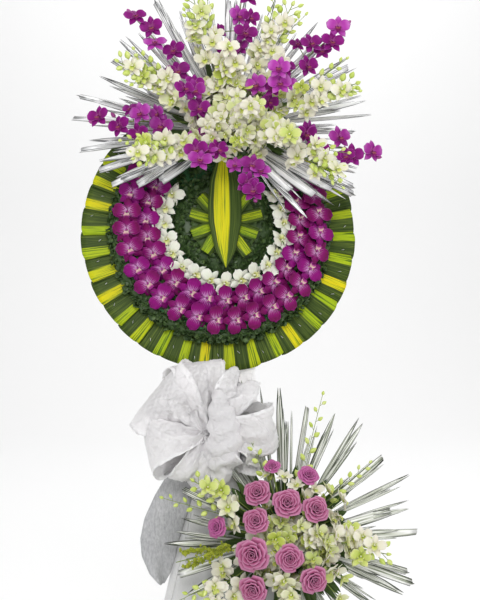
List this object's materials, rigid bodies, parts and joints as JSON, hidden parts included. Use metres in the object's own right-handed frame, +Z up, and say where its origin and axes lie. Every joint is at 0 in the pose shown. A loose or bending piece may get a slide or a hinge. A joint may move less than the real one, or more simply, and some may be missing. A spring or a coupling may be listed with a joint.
{
  "type": "funeral wreath on a stand",
  "caption": "Standing funeral wreath: a leaf-edged disc of orchids with a top spray, a white bow, a rose spray below and a cloth-covered wooden tripod.",
  "frame": {"origin": "on the floor, under the middle of the whole wreath's bounding box", "axes": "+Z up, +X to the viewer's right, the flowers face -Y"},
  "size_m": [0.7127, 0.5681, 1.6899],
  "materials": {
    "stand_wood": "matte",
    "foam": "matte",
    "silver_leaf": "satin",
    "variegated_leaf": "satin",
    "dark_leaf": "matte",
    "purple_petal": "satin",
    "white_petal": "satin",
    "rose_petal": "satin",
    "goldenrod": "matte",
    "white_cloth": "matte"
  },
  "bodies": {
    "root": {"backing_board": "stand_wood", "bow": "white_cloth", "centre_hanging_leaf": "variegated_leaf", "centre_leaf_star": "variegated_leaf", "cloth_band": "white_cloth", "cloth_drape": "white_cloth", "cloth_tail": "white_cloth", "foam_disc": "foam", "inner_leaf_bed": "dark_leaf", "leaf_collar": "variegated_leaf", "leg_back": "stand_wood", "leg_front_left": "stand_wood", "leg_front_right": "stand_wood", "leg_hub": "stand_wood", "lower_foam_block": "foam", "lower_goldenrod_spray": "goldenrod", "lower_silver_leaves": "silver_leaf", "lower_white_spray_bottom": "white_petal", "lower_white_spray_left": "white_petal", "lower_white_spray_low_left": "white_petal", "lower_white_spray_right": "white_petal", "outer_leaf_bed": "dark_leaf", "purple_orchid_inner_row": "purple_petal", "purple_orchid_outer_row": "purple_petal", "rose_far_left": "rose_petal", "rose_left": "rose_petal", "rose_lower_left": "rose_petal", "rose_lower_right": "rose_petal", "rose_middle": "rose_petal", "rose_middle_left": "rose_petal", "rose_top": "rose_petal", "rose_top_right": "rose_petal", "rose_upper_left": "rose_petal", "rose_upper_middle": "rose_petal", "rose_upper_right": "rose_petal", "skirt_front": "white_cloth", "skirt_left": "white_cloth", "skirt_right": "white_cloth", "support_batten": "stand_wood", "top_foam_block": "foam", "top_purple_front_left": "purple_petal", "top_purple_front_low": "purple_petal", "top_purple_front_low_left": "purple_petal", "top_purple_front_right": "purple_petal", "top_purple_spray_left": "purple_petal", "top_purple_spray_right": "purple_petal", "top_purple_spray_up": "purple_petal", "top_purple_spray_upper_left": "purple_petal", "top_purple_spray_upper_right": "purple_petal", "top_silver_leaves": "silver_leaf", "top_white_front": "white_petal", "top_white_front_low_right": "white_petal", "top_white_front_up": "white_petal", "top_white_spray_high_left": "white_petal", "top_white_spray_high_right": "white_petal", "top_white_spray_left": "white_petal", "top_white_spray_low_left": "white_petal", "top_white_spray_low_right": "white_petal", "top_white_spray_right": "white_petal", "white_orchid_row": "white_petal"}
  },
  "joints": []
}
